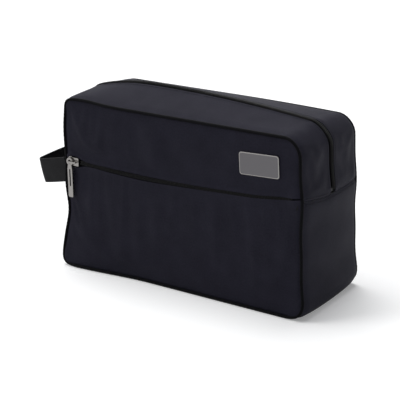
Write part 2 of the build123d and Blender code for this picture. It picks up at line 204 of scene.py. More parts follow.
def outline_at(distance, inset=0.0):
    """A point on the outline and its outward direction, in the plane of the front.
    The distance runs from the middle of the top, to the right and down if positive."""
    if abs(distance) > half_round:
        distance -= math.copysign(2 * half_round, distance)
    hand = 1 if distance >= 0 else -1
    d = abs(distance)
    if d <= top_run:
        point, normal = (d, bag_height), (0, 1)
    elif d <= top_run + top_bend:
        turn = (d - top_run) / top_radius
        normal = (math.sin(turn), math.cos(turn))
        point = (top_run + top_radius * normal[0], bag_height - top_radius + top_radius * normal[1])
    elif d <= top_run + top_bend + side_run:
        normal = (1, 0)
        point = (half_length, bag_height - top_radius - (d - top_run - top_bend))
    elif d <= bottom_run:
        turn = (d - top_run - top_bend - side_run) / bottom_radius
        normal = (math.cos(turn), -math.sin(turn))
        point = (
            half_length - bottom_radius + bottom_radius * normal[0],
            bottom_radius + bottom_radius * normal[1],
        )
    else:
        normal = (0, -1)
        point = (half_length - bottom_radius - (d - bottom_run), 0)
    return hand * (point[0] - inset * normal[0]), point[1] - inset * normal[1], hand * normal[0], normal[1]


def bump(value, centre, width):
    """A smooth hill, 1 at its centre."""
    return np.exp(-(((value - centre) / width) ** 2))


def ease_body(points):
    """The soft bag's own shape: points of the crisp body, in millimetres, moved as its cloth sits."""
    p = np.array(points, float).reshape(-1, 3)
    x, y, z = p[:, 0].copy(), p[:, 1].copy(), p[:, 2].copy()
    up = np.clip(z / bag_height, 0, 1.1)
    across = x / half_length
    deep = np.clip(y / half_depth, -1, 1)
    # Taper: the base spreads a little and the top draws in
    lean_out = 1 - 2 * np.clip(up, 0, 1)
    p[:, 0] *= 1 + side_taper * lean_out
    foot = np.clip(1 - z / foot_spread_height, 0, 1)
    p[:, 1] *= 1 + depth_taper * lean_out + foot_spread * foot ** 2
    # The base's front left corner stands forward, and the left side is pinched above it
    left = np.clip((-x - 30) / 90, 0, 1)
    left = left * left * (3 - 2 * left)
    p[:, 1] -= left_foot_step * left * np.clip(-deep, 0, 1) * np.clip(1 - z / left_foot_height, 0, 1) ** 1.5
    near_left = np.clip((-across - 0.8) / 0.2, 0, 1) * np.clip(-deep, 0, 1)
    p[:, 0] += near_left * sum(shift * bump(z, height, room) for shift, height, room in left_edge_shifts)
    # The top's front left end stands up a little, and its back right end sinks
    high = np.clip((up - 0.8) / 0.2, 0, 1)
    p[:, 2] += front_left_lift * high * bump(x, -108, 22) * np.clip(-deep, 0, 1)
    p[:, 2] -= back_right_drop * high * np.clip(across, 0, 1) ** 2 * np.clip(deep, 0, 1)
    # The cloth fills its corners out: squarest along the base and at the top left
    for low, hand, radius, fullness in (
        (False, -1, top_radius, 5.0), (True, -1, bottom_radius, 5.0), (True, 1, bottom_radius, 3.2),
    ):
        u = np.clip((radius - half_length + hand * x) / radius, 0, None)
        v = np.clip((radius - z) / radius if low else (z - bag_height + radius) / radius, 0, None)
        inside = (u > 0) & (v > 0)
        power = fullness + (3.0 * (1 - deep ** 2) if low else 0)
        circle = np.sqrt(u ** 2 + v ** 2) + 1e-9
        square = (u ** power + v ** power) ** (1 / power) + 1e-9
        grow = np.where(inside, circle / square - 1, 0) * radius
        p[:, 0] += hand * grow * u
        p[:, 2] += grow * v * (-1 if low else 1)
    # Crown of the top: highest left of the middle, falling slowly to the right
    slope = (x - crown_peak_x) / np.where(x < crown_peak_x, crown_left_run, crown_right_run)
    reach = np.clip(1 - slope ** 2, 0, 1)
    ridge = np.clip(1 - np.abs(y) / seam_y, 0, 1) ** 0.85
    p[:, 2] += crown_height * reach * ridge * np.clip((up - 0.86) / 0.14, 0, 1)
    # The gusset's middle swells a little beyond its piped edges, but the zip holds the left side
    belly = 1 - deep ** 2
    side = np.clip((np.abs(across) - 0.9) / 0.1, 0, 1)
    swollen = np.sign(x) * (1.5 + 1.5 * bump(z, 75, 40)) * np.clip(z / 20, 0, 1)
    held_by_zip = -side_taper * x * lean_out
    p[:, 0] += side * belly * np.where(x > 0, swollen, held_by_zip)
    # The cross seams dip towards the back and rise at the front piping
    seam_near = bump(z, seam_height, 14)
    near_end = np.clip((np.abs(across) - 0.62) / 0.38, 0, 1) ** 1.5
    rise = seam_front_rise * np.clip((-deep - 0.25) / 0.75, 0, 1) - 0.8
    p[:, 2] += near_end * seam_near * np.where(x > 0, rise, 0)
    # The piped edges wander as hand-sewn ones do
    p[:, 0] += 0.9 * np.sin(z / 17 + 1.3 * np.sign(x)) * side + 0.5 * np.sin(z / 7.3) * side
    return p


front_swell = 2.2
zip_sag = 2.2
zip_rise = 3.2
stop_cover_depth = 2.2


def ease_front(points):
    """The front wall's own fall, on top of the body's: its swell, the zip's line and a few folds."""
    p = np.array(points, float).reshape(-1, 3)
    x, y, z = p[:, 0].copy(), p[:, 1].copy(), p[:, 2].copy()
    front = np.clip((-y - 40) / 8, 0, 1)
    inner = np.clip((half_length - np.abs(x)) / 30, 0, 1) * np.clip((bag_height - z) / 25, 0, 1)
    inner *= np.clip(z / 25, 0, 1)
    inner = inner * inner * (3 - 2 * inner)
    held_by_fold = 1 - 0.45 * bump(z, seam_height, 16)
    room_for_puller = 1 - 0.7 * bump(x, -108, 24) * bump(z, 85, 30)
    swell = front_swell * inner * held_by_fold * room_for_puller
    fold = 1.5 * np.sin(x / 8 + 1.8 * np.sin(z / 30)) * bump(z, 140, 20) * bump(x, -38, 30)
    fold += 0.8 * np.sin((x + 0.8 * z) / 8) * bump(x, -106, 16) * bump(z, 62, 26)
    fold += 0.9 * np.sin((x - 0.9 * z) / 9) * bump(x, 108, 18) * bump(z, 80, 22)
    stop_cover = stop_cover_depth * bump(x, 123, 7) * bump(z, seam_height, 9)
    p[:, 1] -= front * (swell + fold * np.clip(inner * 2, 0, 1) + stop_cover)
    # Sag of the pocket zip left of the middle, and its rise to the right-hand piping
    zip_near = bump(z, seam_height, 26)
    line = -zip_sag * bump(x, -35, 55) + zip_rise * np.clip((x - 25) / 80, 0, 1) ** 1.3
    p[:, 2] += front * zip_near * line
    return p


def eased(points, front=False):
    """Crisp millimetre points to eased metre points."""
    p = ease_front(points) if front else np.array(points, float).reshape(-1, 3)
    return ease_body(p) * mm


def mesh_piece(name, points, faces, material, uvs=None, smooth=True):
    """A mesh object from finished points in metres. uvs, if given, has one pair for each point."""
    mesh = bpy.data.meshes.new(name)
    mesh.from_pydata([tuple(q) for q in points], [], faces)
    mesh.validate()
    if uvs is not None:
        layer = mesh.uv_layers.new(name="cloth")
        for loop in mesh.loops:
            layer.data[loop.index].uv = uvs[loop.vertex_index]
    mesh.polygons.foreach_set("use_smooth", [smooth] * len(mesh.polygons))
    mesh.materials.append(material)
    piece = bpy.data.objects.new(name, mesh)
    bpy.context.scene.collection.objects.link(piece)
    return piece


def grid_faces(rows, columns, closed=False):
    """Quads of a grid whose points run row by row. A closed grid joins its last column to its first."""
    quads = []
    for r in range(rows - 1):
        for c in range(columns if closed else columns - 1):
            right = (c + 1) % columns
            here = r * columns
            below = here + columns
            quads.append((here + c, here + right, below + right, below + c))
    return quads


def mesh_points(piece):
    """The piece's points, in metres."""
    return np.array([v.co[:] for v in piece.data.vertices])


def finished(piece):
    """Makes the piece's modifiers real."""
    bpy.context.view_layer.update()
    graph = bpy.context.evaluated_depsgraph_get()
    mesh = bpy.data.meshes.new_from_object(
        piece.evaluated_get(graph), preserve_all_data_layers=True, depsgraph=graph)
    piece.modifiers.clear()
    old = piece.data
    piece.data = mesh
    bpy.data.meshes.remove(old)


def thickened(piece, thickness):
    """Gives a cloth sheet its thickness, in millimetres, inward, with the edges closed."""
    layer = piece.modifiers.new("thickness", "SOLIDIFY")
    layer.thickness = thickness * mm
    layer.offset = -1
    layer.use_even_offset = True
    finished(piece)
    piece.data.set_sharp_from_angle(angle=math.radians(48))


# Cloth finishes share one woven effect: crossed threads, with slow changes of shade and small slubs.
# It is used for the shell's nylon, the lining, the tapes and the webbing, each at its own scale.
weave = bpy.data.node_groups.new("thread_weave", "ShaderNodeTree")
for socket_name, start in (("Threads", 900.0), ("Slub", 60.0), ("Twill", 0.0)):
    socket = weave.interface.new_socket(name=socket_name, in_out="INPUT", socket_type="NodeSocketFloat")
    socket.default_value = start
weave.interface.new_socket(name="Height", in_out="OUTPUT", socket_type="NodeSocketFloat")
weave.interface.new_socket(name="Shade", in_out="OUTPUT", socket_type="NodeSocketFloat")
weave_nodes = weave.nodes
weave_links = weave.links
weave_in = weave_nodes.new("NodeGroupInput")
weave_out = weave_nodes.new("NodeGroupOutput")
weave_place = weave_nodes.new("ShaderNodeUVMap")
weave_place.uv_map = "cloth"
weave_split = weave_nodes.new("ShaderNodeSeparateXYZ")
weave_links.new(weave_place.outputs["UV"], weave_split.inputs[0])
weave_slant = math_step(weave, "MULTIPLY", weave_split.outputs["Y"], weave_in.outputs["Twill"])
weave_u = math_step(weave, "ADD", weave_split.outputs["X"], weave_slant)
full_turn = 6.2832
threads_turn = math_step(weave, "MULTIPLY", weave_in.outputs["Threads"], full_turn)
warp = math_step(weave, "SINE", math_step(weave, "MULTIPLY", weave_u, threads_turn))
weft = math_step(weave, "SINE", math_step(weave, "MULTIPLY", weave_split.outputs["Y"], threads_turn))
weave_cross = math_step(weave, "MULTIPLY", warp, weft)
slub_noise = weave_nodes.new("ShaderNodeTexNoise")
slub_noise.inputs["Detail"].default_value = 5
weave_links.new(weave_place.outputs["UV"], slub_noise.inputs["Vector"])
weave_links.new(weave_in.outputs["Slub"], slub_noise.inputs["Scale"])
weave_links.new(math_step(weave, "ADD", weave_cross, slub_noise.outputs["Fac"]), weave_out.inputs["Height"])
grain_noise = weave_nodes.new("ShaderNodeTexNoise")
grain_noise.inputs["Detail"].default_value = 2
weave_links.new(weave_place.outputs["UV"], grain_noise.inputs["Vector"])
weave_links.new(math_step(weave, "MULTIPLY", weave_in.outputs["Slub"], 14), grain_noise.inputs["Scale"])
shade_grain = math_step(weave, "MULTIPLY", grain_noise.outputs["Fac"], 0.5)
shade_threads = math_step(weave, "ADD", math_step(weave, "MULTIPLY", weave_cross, 0.12), shade_grain)
shade_slub = math_step(weave, "ADD", math_step(weave, "MULTIPLY", slub_noise.outputs["Fac"], 0.5), -0.25)
shade = math_step(weave, "ADD", math_step(weave, "ADD", shade_threads, shade_slub), 0.25)
weave_links.new(shade, weave_out.inputs["Shade"])


def plain_material(name):
    """A new material, with its nodes, its links and its Principled BSDF."""
    material = bpy.data.materials.new(name)
    material.use_nodes = True
    tree = material.node_tree
    return material, tree.nodes, tree.links, tree.nodes["Principled BSDF"]


def uneven_gloss(nodes, links, mask, shader, low, high):
    """Spreads the roughness from low to high over a mask of 0 to 1."""
    gloss = nodes.new("ShaderNodeMapRange")
    gloss.inputs["To Min"].default_value = low
    gloss.inputs["To Max"].default_value = high
    links.new(mask, gloss.inputs["Value"])
    links.new(gloss.outputs[0], shader.inputs["Roughness"])


def relief_from(nodes, links, height, shader, strength, distance):
    """Bumps the surface by a height."""
    relief = nodes.new("ShaderNodeBump")
    relief.inputs["Strength"].default_value = strength
    relief.inputs["Distance"].default_value = distance
    links.new(height, relief.inputs["Height"])
    links.new(relief.outputs[0], shader.inputs["Normal"])


def cloth_material(name, dark, light, threads, slub, rough, sheen, bump_height, twill=0.0):
    """A woven finish between two shades."""
    material, nodes, links, shader = plain_material(name)
    threads_node = nodes.new("ShaderNodeGroup")
    threads_node.node_tree = weave
    threads_node.inputs["Threads"].default_value = threads
    threads_node.inputs["Slub"].default_value = slub
    threads_node.inputs["Twill"].default_value = twill
    shades = nodes.new("ShaderNodeValToRGB")
    shades.color_ramp.elements[0].position = 0.25
    shades.color_ramp.elements[0].color = (*dark, 1)
    shades.color_ramp.elements[1].position = 0.85
    shades.color_ramp.elements[1].color = (*light, 1)
    links.new(threads_node.outputs["Shade"], shades.inputs[0])
    links.new(shades.outputs[0], shader.inputs["Base Color"])
    uneven_gloss(nodes, links, threads_node.outputs["Shade"], shader, rough + 0.08, rough - 0.08)
    relief_from(nodes, links, threads_node.outputs["Height"], shader, 0.35, bump_height * mm)
    shader.inputs["Sheen Weight"].default_value = sheen
    shader.inputs["Sheen Roughness"].default_value = 0.4
    shader.inputs["Specular IOR Level"].default_value = 0.04
    return material


shell_nylon = cloth_material(
    "shell_nylon", (0.0108, 0.0104, 0.0165), (0.0220, 0.0214, 0.0330), 1600, 45, 0.56, 0.01, 0.06)
lining_nylon = cloth_material(
    "lining_nylon", (0.020, 0.020, 0.023), (0.036, 0.036, 0.040), 1900, 60, 0.60, 0.04, 0.04)
# The piping cloth is set several times darker than the shell nylon: partly the piping's own black, partly
# painted shade of the seam groove beside the cord.
piping_cloth = cloth_material(
    "piping_cloth", (0.0020, 0.0020, 0.0026), (0.0050, 0.0050, 0.0062), 1500, 80, 0.62, 0.01, 0.06)
# The tape cloth is near black, darker than the shell: partly the tape's own black, partly painted shade of
# the zip grooves. The seam binding uses it too.
tape_cloth_painted_shade = cloth_material(
    "zip_tape_painted_shade", (0.0015, 0.0015, 0.0018), (0.0040, 0.0040, 0.0045), 1100, 90, 0.75, 0.02, 0.08, 1.0)
webbing_cloth = cloth_material(
    "webbing_cloth", (0.0140, 0.0140, 0.0150), (0.0300, 0.0300, 0.0310), 700, 70, 0.70, 0.05, 0.16)
thread_cotton = cloth_material(
    "sewing_thread", (0.0120, 0.0120, 0.0150), (0.0240, 0.0240, 0.0290), 2500, 120, 0.50, 0.03, 0.03)

# Front wall: two panels of shell nylon, piped all round, with the pocket zip between them. Each
# panel is cut to the outline, its zip edge is folded under, and a row of stitches holds the fold.
front_face_y = -49.0
panel_tuck = 1.4
panel_tuck_width = 5.0
panel_step = 3.0
zip_half_gap = 2.5
fold_depth = 1.7
fold_edge_lift = 1.3
shell_thickness = 0.8
badge_low, badge_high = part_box("badge")
badge_x = (badge_low.x + badge_high.x) / 2 / mm
badge_z = (badge_low.z + badge_high.z) / 2 / mm
badge_half = (19.8, 10.1)


def zip_gap(x):
    """Half the opening between the two folds over the pocket zip, in millimetres."""
    at_slider = 3.6 * bump(x, -117, 10)
    closing = 1 - 0.5 * max(0, min(1, (x - 110) / 14))
    return zip_half_gap * (0.6 + 0.4 * bump(x, -45, 55)) * closing + at_slider


def panel_bounds(x, inset):
    """Lowest and highest z inside the outline at x."""
    room_top = max(top_radius - inset, 0)
    room_bottom = max(bottom_radius - inset, 0)
    side = half_length - inset - abs(x)
    high = bag_height - inset
    low = inset
    if side < room_top:
        high -= room_top - math.sqrt(max(room_top ** 2 - (room_top - side) ** 2, 0))
    if side < room_bottom:
        low += room_bottom - math.sqrt(max(room_bottom ** 2 - (room_bottom - side) ** 2, 0))
    return low, high


def wall_panel(upper, front_y, inset, has_zip):
    """One wall panel as a grid of columns, each running from its zip fold to the outline.
    The columns stand closer together towards the ends."""
    half = half_length - inset
    columns = int(2 * half / panel_step)
    xs = []
    for c in range(columns + 1):
        crowded = math.cos(math.pi * c / columns)
        even = 1 - 2 * c / columns
        xs.append(-half * crowded * 0.35 - half * even * 0.65)
    rows = int((bag_height if not has_zip else bag_height / 2) / panel_step)
    points = []
    for x in xs:
        low, high = panel_bounds(x, inset)
        if has_zip:
            gap = float(zip_gap(x))
            if upper:
                low = min(seam_height + gap, high)
            else:
                high = max(seam_height - gap, low)
        edge = low if upper else high
        rim = high if upper else low
        side = 1 if upper else -1
        column = []
        if has_zip:
            for depth in (fold_depth, fold_depth * 0.5):
                column.append((x, front_y + depth, edge))
            column.append((x, front_y - 0.5, edge + side * 0.05))
        for r in range(rows + 1):
            share = r / rows
            z = edge + (rim - edge) * share
            lift = fold_edge_lift * bump(abs(z - edge), 1.0, 1.7) if has_zip else 0
            column.append((x, front_y - lift, z))
        points.extend(column)
    flat = np.array(points)
    uvs = [(q[0] * mm, q[2] * mm) for q in points]
    # The rim dips in behind the piping
    rim_room = np.array([min(half - abs(q[0]), q[2] - inset, bag_height - inset - q[2]) for q in points])
    flat[:, 1] += np.sign(-front_y) * panel_tuck * np.clip(1 - rim_room / panel_tuck_width, 0, 1) ** 2
    faces = grid_faces(len(xs), len(column))
    if upper == (front_y < 0):
        faces = [tuple(reversed(face)) for face in faces]
    return flat, faces, uvs


inward_room = 0.15
largest_fold = 2.2
settle_frames = 14


def settle_cloth(piece, pinned, slack):
    """Lets a pinned cloth sheet settle with a little spare cloth, so that it falls in soft folds."""
    group = piece.vertex_groups.new(name="pinned")
    for index, weight in enumerate(pinned):
        if weight > 0:
            group.add([index], float(weight), "REPLACE")
    cloth = piece.modifiers.new("cloth", "CLOTH")
    cloth.settings.quality = 5
    cloth.settings.mass = 0.25
    cloth.settings.tension_stiffness = 25
    cloth.settings.compression_stiffness = 25
    cloth.settings.shear_stiffness = 10
    cloth.settings.bending_stiffness = 2.0
    cloth.settings.shrink_min = -slack
    cloth.settings.vertex_group_mass = "pinned"
    cloth.settings.effector_weights.gravity = 0.6
    cloth.collision_settings.use_collision = False
    cloth.point_cache.frame_start = 1
    cloth.point_cache.frame_end = settle_frames
    for number in range(1, settle_frames + 1):
        bpy.context.scene.frame_set(number)
    graph = bpy.context.evaluated_depsgraph_get()
    settled = piece.evaluated_get(graph).to_mesh()
    start = mesh_points(piece)
    moved = np.array([v.co[:] for v in settled.vertices])
    piece.evaluated_get(graph).to_mesh_clear()
    piece.modifiers.remove(cloth)
    bpy.context.scene.frame_set(1)
    shift = moved - start
    # Folds stand outward: the layers behind the cloth leave it little room inward
    outward = np.array([v.normal[:] for v in piece.data.vertices])
    sunk = np.minimum((shift * outward).sum(axis=1, keepdims=True) + inward_room * mm, 0)
    shift -= sunk * outward
    length = np.linalg.norm(shift, axis=1, keepdims=True)
    most = largest_fold * mm
    shift *= np.where(length > most, most / np.maximum(length, 1e-9), 1)
    piece.data.vertices.foreach_set("co", (start + shift).ravel())
    piece.data.update()


pin_margin = 2
pin_fade = 9


def pin_weights(points, inset, has_zip):
    """Full hold at the rim, the zip fold and the badge, easing to none in the panel's middle."""
    weights = []
    for x, _, z in points:
        low, high = panel_bounds(x, inset)
        room = min(half_length - inset - abs(x), z - low, high - z)
        if has_zip:
            badge_room = max(abs(x - badge_x) - badge_half[0], abs(z - badge_z) - badge_half[1])
            room = min(room, abs(z - seam_height) - pin_margin, badge_room - pin_margin)
        weights.append(max(0.0, min(1.0, 1 - room / pin_fade)))
    return weights


def fixed_to_bag(piece, slot, *nodes):
    """The piece is sewn or clenched to the bag, and stands for these nodes."""
    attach(piece, "bag")
    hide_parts(*nodes)


panel_inset = 2 * piping_radius - 1.2
for name, upper, slack, node in (
    ("front_upper_cloth", True, 0.012, "front_upper_panel"),
    ("front_pocket_cloth", False, 0.007, "front_pocket_panel"),
):
    flat, faces, uvs = wall_panel(upper, front_face_y, panel_inset, True)
    piece = mesh_piece(name, flat * mm, faces, shell_nylon, uvs)
    settle_cloth(piece, pin_weights(flat, panel_inset, True), slack)
    piece.data.vertices.foreach_set("co", eased(mesh_points(piece) / mm, front=True).ravel())
    thickened(piece, shell_thickness)
    fixed_to_bag(piece, "outer_cloth", node)

# Back wall: one piece of shell nylon, cut like the front and sewn to the gusset with its own piping.
# Its middle swells out a little more than the front's.
back_swell = 1.6
back_swell_width = 50
flat, faces, uvs = wall_panel(False, half_depth - 1, panel_inset, False)
back_cloth = mesh_piece("back_cloth", flat * mm, faces, shell_nylon, uvs)
settle_cloth(back_cloth, pin_weights(flat, panel_inset, False), 0.012)
settled = mesh_points(back_cloth) / mm
from_sides = np.clip((half_length - np.abs(settled[:, 0])) / back_swell_width, 0, 1)
from_ends = np.clip(np.minimum(settled[:, 2], bag_height - settled[:, 2]) / back_swell_width, 0, 1)
settled[:, 1] += back_swell * from_sides * from_ends
back_cloth.data.vertices.foreach_set("co", eased(settled).ravel())
thickened(back_cloth, shell_thickness)
fixed_to_bag(back_cloth, "outer_cloth", "back_panel")

# Gusset: a long strip of shell nylon round the sides and base, and two upper ends that run over the
# top corners. The pieces meet at the cross seams, where each edge is turned in.
gusset_step = 3.0
gusset_pin_fade = 8
seam_dip = 1.0
cross_gap = 0.2
piping_overlap = 0.8
still_below = 8


def gusset_strip(name, start, end, y_start, y_end, turned_in, slack, material, depth=0.0):
    """A strip along the outline from start to end, between two y values, as deep inside as depth.
    turned_in folds its two ends in at the cross seams. The part on the floor is held still."""
    along = max(2 * int(abs(end - start) / gusset_step / 2), 4)
    ys = np.linspace(y_start, y_end, max(int(abs(y_end - y_start) / gusset_step), 4) + 1)
    points = []
    uvs = []
    for a in range(along + 1):
        distance = start + (end - start) * a / along
        turned = seam_dip * bump(a, 0, 0.8) + seam_dip * bump(a, along, 0.8) if turned_in else 0.0
        x, z, nx, nz = outline_at(distance, depth + turned)
        for y in ys:
            edge = seam_dip * bump(abs(y), seam_y, 2.0)
            points.append((x - edge * nx, y, z - edge * nz))
            uvs.append((distance * mm, y * mm))
    faces = grid_faces(along + 1, len(ys))
    if (end - start) * (y_end - y_start) > 0:
        faces = [tuple(reversed(face)) for face in faces]
    flat = np.array(points)
    flat[:, 2] = np.maximum(flat[:, 2], 0.0)
    piece = mesh_piece(name, flat * mm, faces, material, uvs)
    if slack:
        weights = []
        for a in range(along + 1):
            for y in ys:
                room = min(a * gusset_step, (along - a) * gusset_step, abs(y - y_start), abs(y - y_end))
                height = points[len(weights)][2]
                hold = max(0.0, min(1.0, 1 - room / gusset_pin_fade))
                weights.append(1.0 if height < still_below else hold)
        settle_cloth(piece, weights, slack)
    piece.data.vertices.foreach_set("co", eased(mesh_points(piece) / mm).ravel())
    return piece


lower_start = seam_run + cross_gap
lower_end = 2 * half_round - seam_run - cross_gap
lower_cloth = gusset_strip(
    "lower_gusset_cloth", lower_start, lower_end, -seam_y - piping_overlap, seam_y + piping_overlap,
    True, 0, shell_nylon)
thickened(lower_cloth, shell_thickness)
fixed_to_bag(lower_cloth, "outer_cloth", "lower_gusset")

# Top and upper sides: two strips of shell nylon run from one cross seam over the top to the other,
# on either side of the main zip. Each is cut into two halves at the bag's middle.
main_opening_half = 4.4
top_run_end = seam_run - cross_gap
sides = ((-1, "front"), (1, "back"))
hands = ((-1, "left"), (1, "right"))


def blend_to_flap(piece, hand, face, slot, *nodes):
    """Fixes the piece's shape where it stands, and hides the nodes it stands for."""
    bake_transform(piece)
    if nodes:
        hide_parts(*nodes)


def split_at_middle(piece, stem):
    """Two halves of a piece, left and right of the bag's middle."""
    halves = []
    for hand, end in hands:
        shape = bmesh.new()
        shape.from_mesh(piece.data)
        beyond = [face for face in shape.faces if face.calc_center_median().x * hand < 0]
        bmesh.ops.delete(shape, geom=beyond, context="FACES")
        mesh = bpy.data.meshes.new(stem + end)
        shape.to_mesh(mesh)
        shape.free()
        mesh.materials.append(piece.data.materials[0])
        half = bpy.data.objects.new(stem + end, mesh)
        bpy.context.scene.collection.objects.link(half)
        halves.append((hand, half))
    bpy.data.objects.remove(piece)
    return halves


for side, face in sides:
    whole_strip = gusset_strip(
        "top_cloth", -top_run_end, top_run_end,
        side * main_opening_half, side * (seam_y + piping_overlap), True, 0.006, shell_nylon)
    for hand, strip in split_at_middle(whole_strip, "top_cloth_%s_" % face):
        thickened(strip, shell_thickness)
        blend_to_flap(strip, hand, face, "outer_cloth", "top_flap_" + face, "gusset_end_" + face)

# Piping: a cord wrapped in a strip of cloth, caught in the seam all round the front and the back.
# Its wrap puckers a little at each stitch.


def tube_along(name, centres, radii, material, closed=False, sides_around=12, flatten=1.0):
    """A tube through finished points in metres, with one radius or a radius at each point."""
    centres = np.array(centres, float)
    count = len(centres)
    if closed:
        ahead = np.roll(centres, -1, axis=0) - np.roll(centres, 1, axis=0)
    else:
        ahead = np.gradient(centres, axis=0)
    ahead /= np.maximum(np.linalg.norm(ahead, axis=1, keepdims=True), 1e-12)
    up = np.tile(np.array((0.0, 1.0, 0.0)), (count, 1))
    right = np.cross(ahead, up)
    right /= np.maximum(np.linalg.norm(right, axis=1, keepdims=True), 1e-12)
    up = np.cross(right, ahead)
    turns = np.linspace(0, 2 * math.pi, sides_around, endpoint=False)
    radii = np.broadcast_to(np.array(radii, float), (count,))
    points = []
    uvs = []
    along = 0.0
    for row in range(count):
        if row:
            along += float(np.linalg.norm(centres[row] - centres[row - 1]))
        for turn in turns:
            offset = right[row] * math.cos(turn) + up[row] * math.sin(turn) * flatten
            points.append(centres[row] + offset * radii[row])
            uvs.append((along, turn * float(radii[row])))
    faces = grid_faces(count, sides_around, closed=True)
    if closed:
        last = (count - 1) * sides_around
        for c in range(sides_around):
            right_c = (c + 1) % sides_around
            faces.append((last + c, last + right_c, right_c, c))
    else:
        faces.append(tuple(reversed(range(sides_around))))
        faces.append(tuple(range((count - 1) * sides_around, count * sides_around)))
    return mesh_piece(name, points, faces, material, uvs)


def outward_faces(piece):
    """Turns the faces of a closed piece outward."""
    shape = bmesh.new()
    shape.from_mesh(piece.data)
    bmesh.ops.recalc_face_normals(shape, faces=shape.faces)
    shape.to_mesh(piece.data)
    shape.free()


def round_outline(steps, inset, y):
    """Crisp points all the way round the outline, as far inside as inset."""
    centres = []
    for step in range(steps):
        x, z, nx, nz = outline_at(-half_round + 2 * half_round * step / steps, inset)
        centres.append((x, y, z))
    return np.array(centres)


piping_pucker = 4.2
pucker_depth = 0.07
cord_radius = 1.45
piping_steps = 400
for side, face in sides:
    centres = round_outline(piping_steps, piping_radius, side * (half_depth - piping_radius))
    centres[:, 2] = np.maximum(centres[:, 2], piping_radius)
    centres = eased(centres)
    centres[:, 2] = np.maximum(centres[:, 2], piping_radius * mm)
    lengths = 2 * half_round * np.arange(piping_steps) / piping_steps
    radii = (cord_radius + pucker_depth * np.sin(lengths * 2 * math.pi / piping_pucker)) * mm
    piping = tube_along(face + "_piping_cloth", centres, radii, piping_cloth, closed=True, sides_around=14)
    outward_faces(piping)
    fixed_to_bag(piping, "piping_cloth", face + "_piping")

# Inside the walls: a sheet of foam and a lining behind each wall and along the gusset, and the cloth
# behind the zipped pocket. Bound seams run round them, and show when the top is open.
foam_finish = cloth_material(
    "foam_sheet", (0.30, 0.30, 0.29), (0.42, 0.42, 0.40), 300, 220, 0.9, 0.0, 0.2)
inside_inset = 3.7
gusset_inside_y = seam_y - 0.3
binding_steps = 300
binding_inset = 4.9
binding_radius = 1.25
wall_sheets = (
    ("pocket_back_cloth", "pocket_back_panel", -45.7, 0.7, lining_nylon, "lining_cloth"),
    ("front_foam", "front_padding", -44.9, 1.8, foam_finish, "foam"),
    ("front_lining_cloth", "front_lining", -42.9, 0.5, lining_nylon, "lining_cloth"),
    ("back_foam", "back_padding", 47.9, 1.8, foam_finish, "foam"),
    ("back_lining_cloth", "back_lining", 45.8, 0.5, lining_nylon, "lining_cloth"),
)
for name, node, y, thickness, material, slot in wall_sheets:
    flat, faces, uvs = wall_panel(False, y, inside_inset, False)
    sheet = mesh_piece(name, flat * mm, faces, material, uvs)
    sheet.data.vertices.foreach_set("co", eased(flat).ravel())
    thickened(sheet, thickness)
    fixed_to_bag(sheet, slot, node)

for name, node, depth, thickness, material, slot in (
    ("lower_gusset_foam", "lower_gusset_padding", 1.3, 1.4, foam_finish, "foam"),
    ("lower_gusset_lining_cloth", "lower_gusset_lining", 2.9, 0.5, lining_nylon, "lining_cloth"),
):
    sheet = gusset_strip(
        name, lower_start, lower_end, -gusset_inside_y, gusset_inside_y, False, 0, material, depth)
    thickened(sheet, thickness)
    fixed_to_bag(sheet, slot, node)

for side, face in sides:
    for hand, end in hands:
        sheet = gusset_strip(
            "top_lining_cloth_%s_%s" % (face, end), 0, hand * top_run_end,
            side * 6.5, side * gusset_inside_y, False, 0, lining_nylon, 2.2)
        thickened(sheet, 0.5)
        blend_to_flap(sheet, hand, face, "lining_cloth", "top_lining_" + face, "gusset_end_lining_" + face)
    binding_y = -41.8 if side < 0 else 44.7
    centres = eased(round_outline(binding_steps, binding_inset, binding_y))
    binding = tube_along(
        face + "_binding_tape", centres, binding_radius * mm, tape_cloth_painted_shade,
        closed=True, sides_around=10, flatten=0.4)
    outward_faces(binding)
    fixed_to_bag(binding, "binding_tape", face + "_seam_binding")

# Zip tapes: woven black tape behind each side of both zips, coloured darker still as painted shade of
# the zip grooves. Its outer edge is held between shell and lining, and the coil is sewn along its inner
# edge.
tape_thickness = 0.4
tape_inner = 1.5
tape_outer = 15
main_tape_depth = 1.35
pocket_tape_y = -47.9
pocket_tape_half = 126
for side, face in sides:
    for hand, end in hands:
        tape = gusset_strip(
            "main_tape_%s_%s" % (face, end), 0, hand * top_run_end,
            side * tape_inner, side * tape_outer, False, 0, tape_cloth_painted_shade, main_tape_depth)
        thickened(tape, tape_thickness)
        blend_to_flap(tape, hand, face, "zip_tape", "main_zip_tape_" + face, "main_zip_tape_ends_" + face)

for upper, name in ((True, "upper"), (False, "lower")):
    hand = 1 if upper else -1
    xs = np.linspace(-pocket_tape_half, pocket_tape_half, 85)
    zs = seam_height + hand * np.linspace(tape_inner, tape_outer, 6)
    flat = np.array([(x, pocket_tape_y, z) for x in xs for z in zs])
    faces = grid_faces(len(xs), len(zs))
    if upper:
        faces = [tuple(reversed(face)) for face in faces]
    uvs = [(q[0] * mm, q[2] * mm) for q in flat]
    tape = mesh_piece("pocket_tape_" + name, eased(flat, front=True), faces, tape_cloth_painted_shade, uvs)
    thickened(tape, tape_thickness)
    fixed_to_bag(tape, "zip_tape", "pocket_zip_tape_" + name)

# Zip coils: each half is one nylon monofilament wound into a flat coil and sewn to its tape, and
# the two halves mesh, each turn of one between two turns of the other.
coil_nylon_painted_shade, coil_nodes, coil_links, coil_shader = plain_material("coil_nylon_painted_shade")
